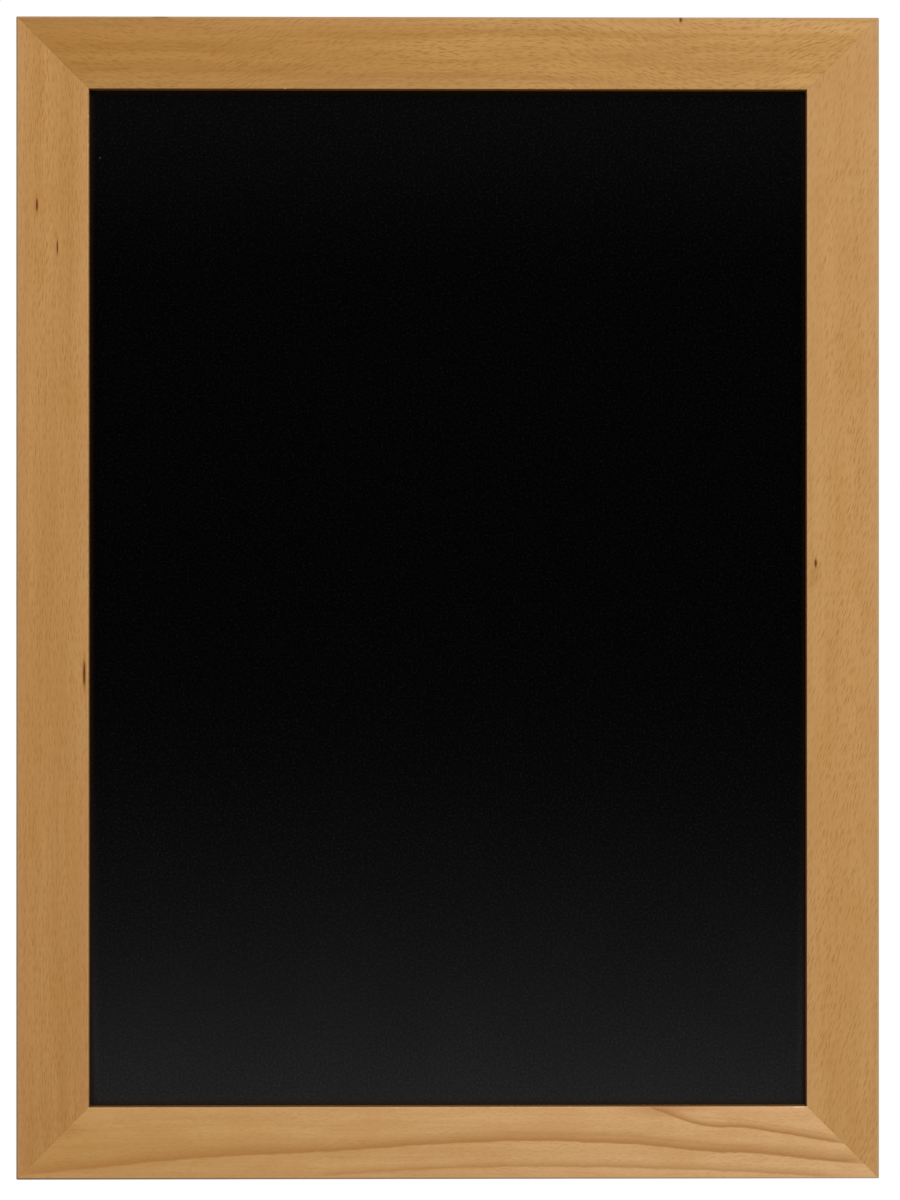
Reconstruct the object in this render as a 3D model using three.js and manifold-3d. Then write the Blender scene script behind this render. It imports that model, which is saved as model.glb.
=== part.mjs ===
// A writing board for the wall: a black panel held in the rebate of a mitred beech frame.
// Millimetres. X runs across the board and Z up, and the front faces -Y. The origin lies on the wall,
// midway between the two hooks that the hanger rings hang on.
import * as THREE from 'three';
import { mergeVertices } from 'three/addons/utils/BufferGeometryUtils.js';
import Module from 'manifold-3d';

// Frame
const boardWidth = 594;
const boardHeight = 800;
const faceWidth = 50;
const frameDepth = 18;
const revealDepth = 6;
const rebateWidth = 7;
const frontArris = 2;
const backArris = 1;
const sightArris = 0.7;
const glueLine = 0.1;

// Writing panel
const panelThickness = 3;
const panelClearance = 1;
const seatGap = 0.1;

// Steel wedges pressed in from the back across each mitre
const wedgeLeg = 6.5;
const wedgeThickness = 0.5;
const wedgeHeight = 10;
const wedgeSink = 0.4;
const wedgeMargin = 12;
const cutClearance = 0.3;

// Steel points driven into the rebate wall behind the panel
const pointLength = 15;
const pointBury = 8;
const pointWidth = 6;
const pointTip = 3;
const pointCorner = 1.2;
const pointThickness = 0.5;
const pointEndMargin = 75;
const railPoints = 3;
const stilePoints = 4;

// Hangers: a folded strap on each stile, with a wire ring in its eye
const hangerDrop = 92;
const strapWidth = 12;
const strapSheet = 0.8;
const strapEnd = 6;
const wireDiameter = 2;
const eyeClearance = 0.15;
const ringReach = 12;
const ringSideGap = 1.2;
const ringCorner = 2.5;
const ringSeam = 0.4;
const restGap = 0.3;
const passGap = 1;

// Screws that hold the straps
const screwLength = 12;
const screwDiameter = 3;
const screwTip = 2.5;
const screwHeadDiameter = 6;
const screwHeadHeight = 2;
const screwPitch = 12;
const recessLength = 3.2;
const recessWidth = 0.8;
const recessDepth = 1.1;

// Rubber bumpers that keep the board's lower end off the wall
const standOff = 4.5;
const bumperDiameter = 12;
const bumperTaper = 0.8;
const bumperRise = 75;

// Facets of round shapes
const arrisFacets = 4;
const roundFacets = 32;
const wireFacets = 10;
const ringSteps = 40;
const domeSteps = 6;

// How far a cutting shape runs past the piece that it cuts
const overcut = 2;

// Places that follow from the sizes: the back plane, the panel's seat, the hangers and the board's centre
const backWidth = faceWidth - rebateWidth;
const backY = -standOff;
const seatDepth = frameDepth - revealDepth;
const wireRadius = wireDiameter / 2;
const eyeRadius = wireRadius + eyeClearance;
const pivotHeight = eyeRadius + strapSheet;
const ringTop = ringReach + wireRadius;
const ringLean = Math.asin((seatGap + pivotHeight - wireRadius - restGap) / ringTop);
const pivotZ = -ringReach * Math.cos(ringLean);
const topZ = pivotZ + hangerDrop;
const centreZ = topZ - boardHeight / 2;
const stileCentreX = boardWidth / 2 - backWidth / 2;
const firstScrew = ringReach + wireDiameter + passGap + screwHeadDiameter / 2;
const strapLength = firstScrew + screwPitch + strapEnd;
const screwHoleRadius = screwDiameter / 2 + cutClearance;

const wasm = await Module();
wasm.setup();

function toSolid(geometry) {
  const plain = geometry.clone();
  plain.deleteAttribute('normal');
  plain.deleteAttribute('uv');
  const merged = mergeVertices(plain);
  const vertProperties = merged.getAttribute('position').array;
  const triVerts = new Uint32Array(merged.index.array);
  return new wasm.Manifold(new wasm.Mesh({ numProp: 3, vertProperties, triVerts }));
}

function toGeometry(solid) {
  const mesh = solid.getMesh();
  const geometry = new THREE.BufferGeometry();
  geometry.setAttribute('position', new THREE.BufferAttribute(mesh.vertProperties, mesh.numProp));
  geometry.setIndex(new THREE.BufferAttribute(mesh.triVerts, 1));
  geometry.computeVertexNormals();
  return geometry;
}

function cutAway(geometry, cutters) {
  const body = cutters.reduce((solid, cutter) => solid.subtract(toSolid(cutter)), toSolid(geometry));
  return toGeometry(body);
}

// Materials

function lacqueredBeech() {
  return new THREE.MeshStandardMaterial({ color: 0xb88a52, roughness: 0.45, metalness: 0 });
}

function blackWritingCoat() {
  return new THREE.MeshStandardMaterial({ color: 0x0c0b0b, roughness: 0.7, metalness: 0 });
}

function zincSteel() {
  return new THREE.MeshStandardMaterial({ color: 0xa9abad, roughness: 0.4, metalness: 0.9 });
}

function greyRubber() {
  return new THREE.MeshStandardMaterial({ color: 0x3a3a3b, roughness: 0.85, metalness: 0 });
}

function piece(name, geometry, material) {
  const mesh = new THREE.Mesh(geometry, material);
  mesh.name = name;
  return mesh;
}

// A side of the frame works in its own axes: X runs inwards from the outer edge, Y from the back plane
// to the face, and Z along the member from its first corner.

function sideAxes(inward) {
  const across = new THREE.Vector3(...inward);
  const depth = new THREE.Vector3(0, -1, 0);
  const run = new THREE.Vector3().crossVectors(across, depth);
  const axes = new THREE.Group();
  axes.setRotationFromMatrix(new THREE.Matrix4().makeBasis(across, depth, run));
  axes.position.set(
    (-(across.x + run.x) * boardWidth) / 2,
    backY,
    centreZ - ((across.z + run.z) * boardHeight) / 2,
  );
  axes.updateMatrixWorld();
  return axes;
}

function memberSection() {
  const section = new THREE.Shape();
  section.moveTo(backArris, 0);
  section.lineTo(backWidth, 0);
  section.lineTo(backWidth, seatDepth);
  section.lineTo(faceWidth, seatDepth);
  section.absarc(faceWidth - sightArris, frameDepth - sightArris, sightArris, 0, Math.PI / 2);
  section.absarc(frontArris, frameDepth - frontArris, frontArris, Math.PI / 2, Math.PI);
  section.absarc(backArris, backArris, backArris, Math.PI, Math.PI * 1.5);
  return section;
}

// Each end is cut at 45 degrees: a point lies as far from the corner along the member as across it,
// and half the glue line further.
function mitredBar(length) {
  const bar = new THREE.ExtrudeGeometry(memberSection(), {
    depth: length,
    bevelEnabled: false,
    curveSegments: arrisFacets,
  });
  const points = bar.getAttribute('position');
  const setBack = (glueLine / 2) * Math.SQRT2;
  for (let i = 0; i < points.count; i++) {
    const slide = points.getX(i) + setBack;
    points.setZ(i, points.getZ(i) > length / 2 ? length - slide : slide);
  }
  return bar;
}

// Flat steel pieces lie in the board's plane: an outline drawn in two of a side's axes, then a thickness.
function flatBlade(outline, thickness, acrossSheet, upSheet) {
  const blade = new THREE.ExtrudeGeometry(outline, {
    depth: thickness,
    bevelEnabled: false,
    curveSegments: arrisFacets,
  });
  const towardsFace = new THREE.Vector3().crossVectors(acrossSheet, upSheet);
  return blade.applyMatrix4(new THREE.Matrix4().makeBasis(acrossSheet, upSheet, towardsFace));
}

const inwards = new THREE.Vector3(1, 0, 0);
const along = new THREE.Vector3(0, 0, 1);
const backAlong = new THREE.Vector3(0, 0, -1);

function wedgeOutline(grow) {
  const tip = wedgeLeg + grow;
  const inner = wedgeThickness + grow;
  const outline = new THREE.Shape();
  outline.moveTo(-grow, -grow);
  outline.lineTo(tip, -grow);
  outline.lineTo(tip, inner);
  outline.lineTo(inner, inner);
  outline.lineTo(inner, tip);
  outline.lineTo(-grow, tip);
  return outline;
}

function wedgeBlade(atFirstCorner) {
  const [acrossSheet, upSheet] = atFirstCorner ? [along, inwards] : [inwards, backAlong];
  return flatBlade(wedgeOutline(0), wedgeHeight, acrossSheet, upSheet);
}

// The slot that a wedge stands in runs out through the back plane.
function wedgeSlot(atFirstCorner) {
  const [acrossSheet, upSheet] = atFirstCorner ? [along, inwards] : [inwards, backAlong];
  const depth = wedgeHeight + wedgeSink + 2 * cutClearance;
  const slot = flatBlade(wedgeOutline(cutClearance), depth, acrossSheet, upSheet);
  return slot.translate(0, -wedgeSink - cutClearance, 0);
}

function wedgeEdges() {
  return [wedgeMargin, backWidth - wedgeMargin];
}

function pointOutline(grow) {
  const half = pointWidth / 2 + grow;
  const free = pointLength - pointBury + grow;
  const outline = new THREE.Shape();
  outline.moveTo(0, -pointBury - grow);
  outline.lineTo(half, pointTip - pointBury - grow);
  outline.absarc(half - pointCorner, free - pointCorner, pointCorner, 0, Math.PI / 2);
  outline.absarc(pointCorner - half, free - pointCorner, pointCorner, Math.PI / 2, Math.PI);
  outline.lineTo(-half, pointTip - pointBury - grow);
  return outline;
}

function pointBlade(grow) {
  const blade = flatBlade(pointOutline(grow), pointThickness + 2 * grow, along, inwards);
  return blade.translate(0, -grow, 0);
}

// Places of the points along one side, evenly spaced between its end margins
function pointPlaces(length, count) {
  const span = length - 2 * (backWidth + pointEndMargin);
  const first = backWidth + pointEndMargin;
  return Array.from({ length: count }, (_, i) => first + (span * i) / (count - 1));
}

const pointDepth = seatDepth - seatGap - panelThickness - seatGap - pointThickness;

function screwPlaces(side) {
  const x = side === 'left' ? -stileCentreX : stileCentreX;
  return [firstScrew, firstScrew + screwPitch].map(
    (drop) => new THREE.Vector3(x, backY, pivotZ - drop),
  );
}

// The hole for a screw in a stile, from just behind the back plane to just past the screw's tip
function pilotHole(place) {
  const buried = screwLength - 2 * strapSheet - 2 * seatGap + cutClearance;
  const height = buried + overcut;
  const hole = new THREE.CylinderGeometry(screwHoleRadius, screwHoleRadius, height, roundFacets);
  return hole.translate(place.x, place.y + height / 2 - overcut, place.z);
}

function memberCuts(length, places, holes) {
  const slots = wedgeEdges().flatMap((edge) => [
    wedgeSlot(true).translate(edge, wedgeSink, edge),
    wedgeSlot(false).translate(edge, wedgeSink, length - edge),
  ]);
  const pointSlots = places.map((place) =>
    pointBlade(cutClearance).translate(backWidth, pointDepth, place),
  );
  return [...slots, ...pointSlots, ...holes.map(pilotHole)];
}

// One side: its member, the wedges across its first mitre, and the points driven into its rebate
function frameSide(member, inward, length, pointCount, firstCorner) {
  const axes = sideAxes(inward);
  const side = member.split('_')[0];
  const places = pointPlaces(length, pointCount);
  const screwed = member.endsWith('stile') ? screwPlaces(side) : [];
  const holes = screwed.map((place) => axes.worldToLocal(place));
  const bar = cutAway(mitredBar(length), memberCuts(length, places, holes));
  axes.add(piece(member, bar, lacqueredBeech()));
  wedgeEdges().forEach((edge, i) => {
    const name = `corner_wedge_${firstCorner}_${i ? 'inner' : 'outer'}`;
    const wedge = piece(name, wedgeBlade(true), zincSteel());
    wedge.position.set(edge, wedgeSink, edge);
    axes.add(wedge);
  });
  places.forEach((place, i) => {
    const point = piece(`panel_point_${side}_${i + 1}`, pointBlade(0), zincSteel());
    point.position.set(backWidth, pointDepth, place);
    axes.add(point);
  });
  return axes;
}

function writingPanel() {
  const margin = backWidth + panelClearance;
  const sheet = new THREE.BoxGeometry(
    boardWidth - 2 * margin,
    panelThickness,
    boardHeight - 2 * margin,
  );
  const panel = piece('writing_panel', sheet, blackWritingCoat());
  panel.position.set(0, backY - seatDepth + seatGap + panelThickness / 2, centreZ);
  return panel;
}

// Hangers: their axes have X along the ring's bar, Y away from the wood and Z up, from the bar's middle

// The strap seen from its edge: folded round the ring's bar, then two layers lying on the wood
function strapEdgeOutline() {
  const foldEnd = -Math.PI / 4;
  const pinch = -2 * pivotHeight;
  const outline = new THREE.Shape();
  outline.moveTo(-pivotHeight, -strapLength);
  outline.lineTo(2 * strapSheet - pivotHeight, -strapLength);
  outline.lineTo(2 * strapSheet - pivotHeight, pinch);
  outline.absarc(0, 0, pivotHeight, foldEnd, Math.PI);
  const eye = new THREE.Path();
  eye.absarc(0, 0, eyeRadius, 0, Math.PI * 2, true);
  outline.holes.push(eye);
  return outline;
}

// The strap seen from its face: straight sides and a round lower end
function strapFaceOutline() {
  const half = strapWidth / 2;
  const top = pivotHeight + overcut;
  const outline = new THREE.Shape();
  outline.moveTo(half, top);
  outline.lineTo(-half, top);
  outline.absarc(0, half - strapLength, half, Math.PI, Math.PI * 2);
  return outline;
}

function hangerStrap(name) {
  const edgeAxes = new THREE.Matrix4().makeBasis(
    new THREE.Vector3(0, 1, 0),
    new THREE.Vector3(0, 0, 1),
    new THREE.Vector3(1, 0, 0),
  );
  const folded = new THREE.ExtrudeGeometry(strapEdgeOutline(), {
    depth: strapWidth + 2 * overcut,
    bevelEnabled: false,
    curveSegments: roundFacets / 2,
  });
  folded.translate(0, 0, -strapWidth / 2 - overcut).applyMatrix4(edgeAxes);
  const height = 2 * (pivotHeight + overcut);
  const blank = new THREE.ExtrudeGeometry(strapFaceOutline(), {
    depth: height,
    bevelEnabled: false,
    curveSegments: roundFacets / 2,
  });
  blank.rotateX(Math.PI / 2).translate(0, height / 2, 0);
  const holes = [firstScrew, firstScrew + screwPitch].map((drop) =>
    new THREE.CylinderGeometry(screwHoleRadius, screwHoleRadius, height, roundFacets)
      .translate(0, 0, -drop),
  );
  const shaped = toGeometry(toSolid(folded).intersect(toSolid(blank)));
  return piece(name, cutAway(shaped, holes), zincSteel());
}

// The ring's wire, bent to a D: its two ends meet in the middle of the straight bar
function ringCentreLine() {
  const half = strapWidth / 2 + ringSideGap + wireRadius;
  const bend = new THREE.Path();
  bend.moveTo(ringSeam / 2, 0);
  bend.absarc(half - ringCorner, ringCorner, ringCorner, -Math.PI / 2, 0);
  bend.absarc(0, ringTop - half, half, 0, Math.PI);
  bend.absarc(ringCorner - half, ringCorner, ringCorner, Math.PI, Math.PI * 1.5);
  bend.lineTo(-ringSeam / 2, 0);
  const places = bend.getSpacedPoints(ringSteps);
  return new THREE.CatmullRomCurve3(places.map((p) => new THREE.Vector3(p.x, 0, p.y)));
}

function hangerRing(name) {
  const wire = new THREE.Shape().absarc(0, 0, wireRadius, 0, Math.PI * 2);
  const bent = new THREE.ExtrudeGeometry(wire, {
    steps: ringSteps,
    curveSegments: wireFacets / 2,
    extrudePath: ringCentreLine(),
  });
  const ring = piece(name, bent, zincSteel());
  ring.rotation.x = ringLean;
  return ring;
}

function screwBody() {
  const shank = screwDiameter / 2;
  const headRadius = screwHeadDiameter / 2;
  const profile = [
    new THREE.Vector2(0, -screwLength),
    new THREE.Vector2(shank, screwTip - screwLength),
    new THREE.Vector2(shank, 0),
    new THREE.Vector2(headRadius, 0),
  ];
  for (let i = 1; i <= domeSteps; i++) {
    const turn = ((Math.PI / 2) * i) / domeSteps;
    profile.push(new THREE.Vector2(headRadius * Math.cos(turn), screwHeadHeight * Math.sin(turn)));
  }
  profile[profile.length - 1].x = 0;
  return new THREE.LatheGeometry(profile, roundFacets);
}

function hangerScrew(name) {
  const bottom = screwHeadHeight - recessDepth;
  const arms = [
    new THREE.BoxGeometry(recessLength, screwHeadHeight, recessWidth),
    new THREE.BoxGeometry(recessWidth, screwHeadHeight, recessLength),
  ].map((arm) => arm.translate(0, bottom + screwHeadHeight / 2, 0));
  return piece(name, cutAway(screwBody(), arms), zincSteel());
}

function hanger(side) {
  const x = side === 'left' ? -stileCentreX : stileCentreX;
  const group = new THREE.Group();
  group.position.set(x, backY + seatGap + pivotHeight, pivotZ);
  group.add(hangerStrap(`hanger_strap_${side}`), hangerRing(`hanger_ring_${side}`));
  [firstScrew, firstScrew + screwPitch].forEach((drop, i) => {
    const screw = hangerScrew(`hanger_screw_${side}_${i ? 'lower' : 'upper'}`);
    screw.position.set(0, 2 * strapSheet - pivotHeight + seatGap, -drop);
    group.add(screw);
  });
  return group;
}

function wallBumper(side) {
  const height = standOff - seatGap;
  const radius = bumperDiameter / 2;
  const profile = [
    new THREE.Vector2(0, 0),
    new THREE.Vector2(radius, 0),
    new THREE.Vector2(radius - bumperTaper / 2, height - bumperTaper),
    new THREE.Vector2(radius - 2 * bumperTaper, height),
    new THREE.Vector2(0, height),
  ];
  const bumper = piece(`wall_bumper_${side}`, new THREE.LatheGeometry(profile, roundFacets), greyRubber());
  bumper.position.set(
    side === 'left' ? -stileCentreX : stileCentreX,
    backY + seatGap,
    topZ - boardHeight + bumperRise,
  );
  return bumper;
}

const board = new THREE.Group();
board.add(
  frameSide('top_rail', [0, 0, -1], boardWidth, railPoints, 'top_right'),
  frameSide('left_stile', [1, 0, 0], boardHeight, stilePoints, 'top_left'),
  frameSide('bottom_rail', [0, 0, 1], boardWidth, railPoints, 'bottom_left'),
  frameSide('right_stile', [-1, 0, 0], boardHeight, stilePoints, 'bottom_right'),
  writingPanel(),
);
for (const side of ['left', 'right']) {
  board.add(hanger(side), wallBumper(side));
}

export default board;
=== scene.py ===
import math

import bmesh
import bpy
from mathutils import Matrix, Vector


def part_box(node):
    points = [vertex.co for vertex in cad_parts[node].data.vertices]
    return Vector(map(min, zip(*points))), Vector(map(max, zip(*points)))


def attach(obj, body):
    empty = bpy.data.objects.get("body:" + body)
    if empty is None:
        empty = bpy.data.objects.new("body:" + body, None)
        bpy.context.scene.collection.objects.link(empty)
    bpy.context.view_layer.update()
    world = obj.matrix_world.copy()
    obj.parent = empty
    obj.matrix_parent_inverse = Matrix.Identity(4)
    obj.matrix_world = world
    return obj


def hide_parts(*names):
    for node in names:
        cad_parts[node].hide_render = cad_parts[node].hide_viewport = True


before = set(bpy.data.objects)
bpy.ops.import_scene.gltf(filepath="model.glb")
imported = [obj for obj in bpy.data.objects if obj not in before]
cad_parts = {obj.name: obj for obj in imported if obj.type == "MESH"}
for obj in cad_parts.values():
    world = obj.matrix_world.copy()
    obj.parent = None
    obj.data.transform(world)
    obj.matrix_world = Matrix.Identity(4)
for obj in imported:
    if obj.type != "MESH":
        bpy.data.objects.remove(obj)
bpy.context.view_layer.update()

bpy.ops.object.select_all(action="DESELECT")

# Frame members. Four lengths of planed beech, rebated behind, sawn to 45 degrees and glued at the mitres.
# The arrises are eased by hand and the face has a satin clear lacquer. The grain runs along each member,
# with the short dark ray flecks of beech, and the bottom rail shows broad growth bands.

MM = 0.001
BOARD_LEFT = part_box("left_stile")[0].x
BOARD_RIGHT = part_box("right_stile")[1].x
BOARD_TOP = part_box("top_rail")[1].z
BOARD_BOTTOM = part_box("bottom_rail")[0].z
MIDDLE_Z = (BOARD_TOP + BOARD_BOTTOM) / 2
BACK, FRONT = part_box("top_rail")[1].y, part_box("top_rail")[0].y
DEPTH = BACK - FRONT
FACE = BOARD_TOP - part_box("top_rail")[0].z
SEAT_GAP = 0.1 * MM
REBATE = 7 * MM
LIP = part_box("writing_panel")[0].y - SEAT_GAP - FRONT
BACK_WIDTH = FACE - REBATE
GLUE_LINE = 0.01 * MM
FRONT_ARRIS, BACK_ARRIS, SIGHT_ARRIS = 1.9 * MM, 1.0 * MM, 0.7 * MM
# The board's corners are rounded by a few flats, sawn at these turns in degrees
CORNER_ROUND = 1.6 * MM
CORNER_TURNS = (47, 62, 77)
STOCK_CUTS = 160
PLANING_STEP, PLANING_DEPTH = 30 * MM, 0.06 * MM
# Places that are nearer than this count as one
NEAR = 0.01 * MM

# How far each member is turned about Y from the top rail, whose outer edge is up
TURNS = {"top_rail": 0.0, "right_stile": math.pi / 2, "bottom_rail": math.pi, "left_stile": -math.pi / 2}
OUTER_MIDDLES = {
    "top_rail": Vector((0, BACK, BOARD_TOP)),
    "right_stile": Vector((BOARD_RIGHT, BACK, MIDDLE_Z)),
    "bottom_rail": Vector((0, BACK, BOARD_BOTTOM)),
    "left_stile": Vector((BOARD_LEFT, BACK, MIDDLE_Z)),
}


def length_of(member):
    return BOARD_RIGHT - BOARD_LEFT if member.endswith("rail") else BOARD_TOP - BOARD_BOTTOM


def pick(piece, kind, wanted):
    """In edit mode, selects the edges or faces whose middle passes a test, and nothing else."""
    bpy.ops.mesh.select_mode(type=kind)
    bpy.ops.mesh.select_all(action="DESELECT")
    mesh = bmesh.from_edit_mesh(piece.data)
    for item in mesh.edges if kind == "EDGE" else mesh.faces:
        middle = sum((v.co for v in item.verts), Vector()) / len(item.verts)
        if wanted(middle, item):
            item.select_set(True)
    mesh.select_flush_mode()
    bmesh.update_edit_mesh(piece.data)


def hold(piece):
    """Makes a piece the active one and the only one selected."""
    bpy.ops.object.select_all(action="DESELECT")
    piece.select_set(True)
    bpy.context.view_layer.objects.active = piece


def edit(piece):
    hold(piece)
    bpy.ops.object.mode_set(mode="EDIT")


def close():
    bpy.ops.object.mode_set(mode="OBJECT")


def pull(x, y, z):
    """In edit mode, extrudes what is selected and moves it."""
    bpy.ops.mesh.extrude_region_move(TRANSFORM_OT_translate={"value": (x, y, z)})


def settle(piece, place=(0, 0, 0), turn=(0, 0, 0)):
    """Puts a piece where it belongs, with its place in its mesh."""
    hold(piece)
    piece.location = place
    piece.rotation_euler = turn
    bpy.ops.object.transform_apply(location=True, rotation=True, scale=True)


def shape_with(piece, kind, **settings):
    """Adds a modifier to a piece, sets it and applies it."""
    hold(piece)
    bpy.ops.object.modifier_add(type=kind)
    added = piece.modifiers[-1]
    for name, value in settings.items():
        setattr(added, name, value)
    bpy.ops.object.modifier_apply(modifier=added.name)


def cut(piece, cutter):
    """Cuts a piece with another solid, which is then gone."""
    shape_with(piece, "BOOLEAN", operation="DIFFERENCE", solver="EXACT", object=cutter)
    bpy.data.objects.remove(cutter)


def smooth(piece, degrees=30):
    hold(piece)
    bpy.ops.object.shade_smooth_by_angle(angle=math.radians(degrees))


def block(low, high):
    """A plain block between two corners, to shape or to cut with."""
    low, high = Vector(low), Vector(high)
    bpy.ops.object.select_all(action="DESELECT")
    bpy.ops.mesh.primitive_cube_add(size=1, location=(low + high) / 2, scale=high - low)
    bpy.ops.object.transform_apply(location=True, rotation=True, scale=True)
    return bpy.context.object


def paint(red, green, blue):
    """A colour as a shader wants it, from the values of a picture."""
    parts = [value / 255 for value in (red, green, blue)]
    return (*[p / 12.92 if p <= 0.04045 else ((p + 0.055) / 1.055) ** 2.4 for p in parts], 1)


def node(tree, kind, wires=None, **settings):
    """A shader node: its settings by name, and wires with a value or a socket for each input."""
    made = tree.nodes.new("ShaderNode" + kind)
    for name, value in settings.items():
        setattr(made, name, value)
    for key, value in (wires or {}).items():
        if isinstance(value, bpy.types.NodeSocket):
            tree.links.new(value, made.inputs[key])
        else:
            made.inputs[key].default_value = value
    return made


def maths(tree, operation, *values, clamp=False):
    wires = dict(enumerate(values))
    return node(tree, "Math", wires, operation=operation, use_clamp=clamp).outputs[0]


def stretched(tree, vector, x_step, y_step, z_step):
    """Coordinates in which one step is that far along each axis, in the unit of the ones given."""
    scale = (1 / x_step, 1 / y_step, 1 / z_step)
    return node(tree, "VectorMath", {0: vector, 1: scale}, operation="MULTIPLY").outputs[0]


def noise(tree, vector, detail=2.0, roughness=0.5):
    wires = {"Vector": vector, "Scale": 1.0, "Detail": detail, "Roughness": roughness}
    return node(tree, "TexNoise", wires).outputs["Fac"]


def weighted(tree, *parts):
    """The sum of some values, each times its weight."""
    total = 0.0
    for value, weight in parts:
        total = maths(tree, "MULTIPLY_ADD", value, weight, total)
    return total


def span(tree, value, low, high, to_low=0.0, to_high=1.0, kind="SMOOTHSTEP"):
    """Turns the stretch of a value from low to high into another, flat outside it."""
    wires = {"Value": value, "From Min": low, "From Max": high, "To Min": to_low, "To Max": to_high}
    return node(tree, "MapRange", wires, interpolation_type=kind).outputs["Result"]


def tint(tree, factor, below, above):
    """Mixes two colours. These are the places of a Mix node's factor and colours among its sockets."""
    return node(tree, "Mix", {0: factor, 6: below, 7: above}, data_type="RGBA").outputs[2]


def reach_from(tree, vector, middle, scale):
    """How far each place is from a spot's middle, on axes scaled so that the spot's edge is at 1."""
    moved = node(tree, "VectorMath", {0: vector, 1: middle}, operation="SUBTRACT").outputs[0]
    sized = node(tree, "VectorMath", {0: moved, 1: scale}, operation="MULTIPLY").outputs[0]
    return node(tree, "VectorMath", {0: sized}, operation="LENGTH").outputs["Value"]


def new_material(name):
    """An empty material, with its tree and its surface shader."""
    made = bpy.data.materials.new(name)
    made.use_nodes = True
    return made, made.node_tree, made.node_tree.nodes["Principled BSDF"]


def bump(tree, surface, height, strength, distance):
    wires = {"Height": height, "Strength": strength, "Distance": distance}
    tree.links.new(node(tree, "Bump", wires).outputs[0], surface.inputs["Normal"])


# Each member's wood: its light ground and the deeper tone of its streaks, each at the first and the last
# end of its grain, the painted sheen and shade of its rounded outer arris, paler where it turns to the light
# and darker where it turns away, how strong and long and wide its flecks are, how they slant, how far its
# grain waves, and how strong the painted highlight on its sight edge is. Lengths are in millimetres, a slant
# is a rise for one along, and a seed sets one member's pattern apart from another's.
WOODS = {
    "top_rail": {
        "ground": ((165, 119, 55), (198, 152, 87)), "deep": ((148, 102, 39), (178, 131, 67)),
        "arris": ((168, 136, 104), (180, 146, 112)), "fleck": 0.74, "fleck_size": (5.6, 1.0),
        "slant": -0.45, "wave": 3.0, "sight": 0.05, "seed": 11.0,
    },
    "right_stile": {
        "ground": ((191, 144, 86), (192, 145, 87)), "deep": ((184, 136, 77), (187, 139, 81)),
        "arris": ((190, 156, 124), (190, 156, 124)), "fleck": 0.57, "fleck_size": (6.6, 0.85),
        "slant": 0.28, "wave": 2.0, "sight": 0.25, "seed": 37.0,
    },
    "bottom_rail": {
        "ground": ((222, 177, 125), (189, 143, 82)), "deep": ((213, 167, 114), (178, 130, 70)),
        "arris": ((196, 164, 130), (92, 72, 52)), "fleck": 0.22, "fleck_size": (3.6, 0.85),
        "slant": -0.05, "wave": 3.0, "sight": 0.35, "seed": 59.0,
    },
    "left_stile": {
        "ground": ((180, 133, 77), (185, 138, 79)), "deep": ((170, 122, 66), (176, 128, 69)),
        "arris": ((136, 114, 90), (142, 120, 94)), "fleck": 0.62, "fleck_size": (6.0, 0.68),
        "slant": 0.03, "wave": 2.0, "sight": 0.25, "seed": 83.0,
    },
}
# Stretches in which the top rail's flecks turn flat or down instead of up: from, to, and how far they drop
TOP_DIPS = [(-330, -160, 78), (-70, 60, 40), (30, 230, 125)]

# The wood's cloudy patterns, as millimetres along, through and across the grain for one step of each: its
# slow waves, its streaks, its fuzz and fibres, the patches in which flecks are denser, and darker blotches
WAVES = (90, 60, 60)
WIDE_STREAKS, NARROW_STREAKS = (240, 14, 9), (60, 3, 1.8)
FUZZ, FIBRES = (7, 2.6, 2.2), (7, 0.5, 0.3)
FLECK_PATCHES, BLOTCHES = (60, 14, 14), (42, 20, 16)
FLECK_BROWN, BLOTCH_BROWN, BAND_BROWN = paint(144, 90, 18), paint(174, 118, 56), paint(166, 114, 58)
# Of these: a paler margin, the painted highlight on the sight edge, and the painted shade on the lip's inner
# wall
PALE_MARGIN, SIGHT_HIGHLIGHT, SHADED_LIP = paint(198, 158, 118), paint(206, 172, 130), paint(128, 86, 44)
FLECK_LEAN, FINE_FLECK_LEAN, FINE_FLECK_SHARE = 0.22, 0.2, 0.35

# Growth bands of the bottom rail: points along each band's sharp lower edge, as millimetres right of the
# board's middle and above its lower edge, how dark the band is, and how far up it takes to fade. A band's
# ends fade out over BAND_END each way. Its edge wavers by BAND_WAVER millimetres, in ripples of BAND_RIPPLE.
# The curve that draws it spans CURVE_RANGE millimetres of height.
BAND_END = 12 * MM
BAND_RIPPLE = 50 / 3 * MM
BAND_WAVER = 1.2
CURVE_RANGE = 100.0
BANDS = [
    ([(-294, 3), (-262, 6), (-165, 15), (-81, 19), (-5, 24), (67, 26), (105, 24.5), (132, 23.4), (160, 20.4),
      (176, 18.6), (212, 17.2), (249, 13.1), (284, 9.9)], 0.9, 11.0),
    ([(40, 31), (105, 29.5), (135, 28), (165, 24.5), (190, 22.5), (215, 21.5)], 0.3, 3.5),
    ([(-88, 2), (-24, 6), (31, 8), (105, 7.8), (160, 6.2), (215, 3.9), (262, 0.8)], 0.65, 7.0),
    ([(125, 57), (139, 49.2), (150, 44.7), (168, 38.1), (178, 35.8), (201, 35.1), (226, 31.6), (256, 26.4),
      (274, 23.6)], 0.95, 6.5),
    ([(176, 41), (200, 40), (226, 36), (256, 30.5), (272, 27.5)], 0.3, 2.5),
]

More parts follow.
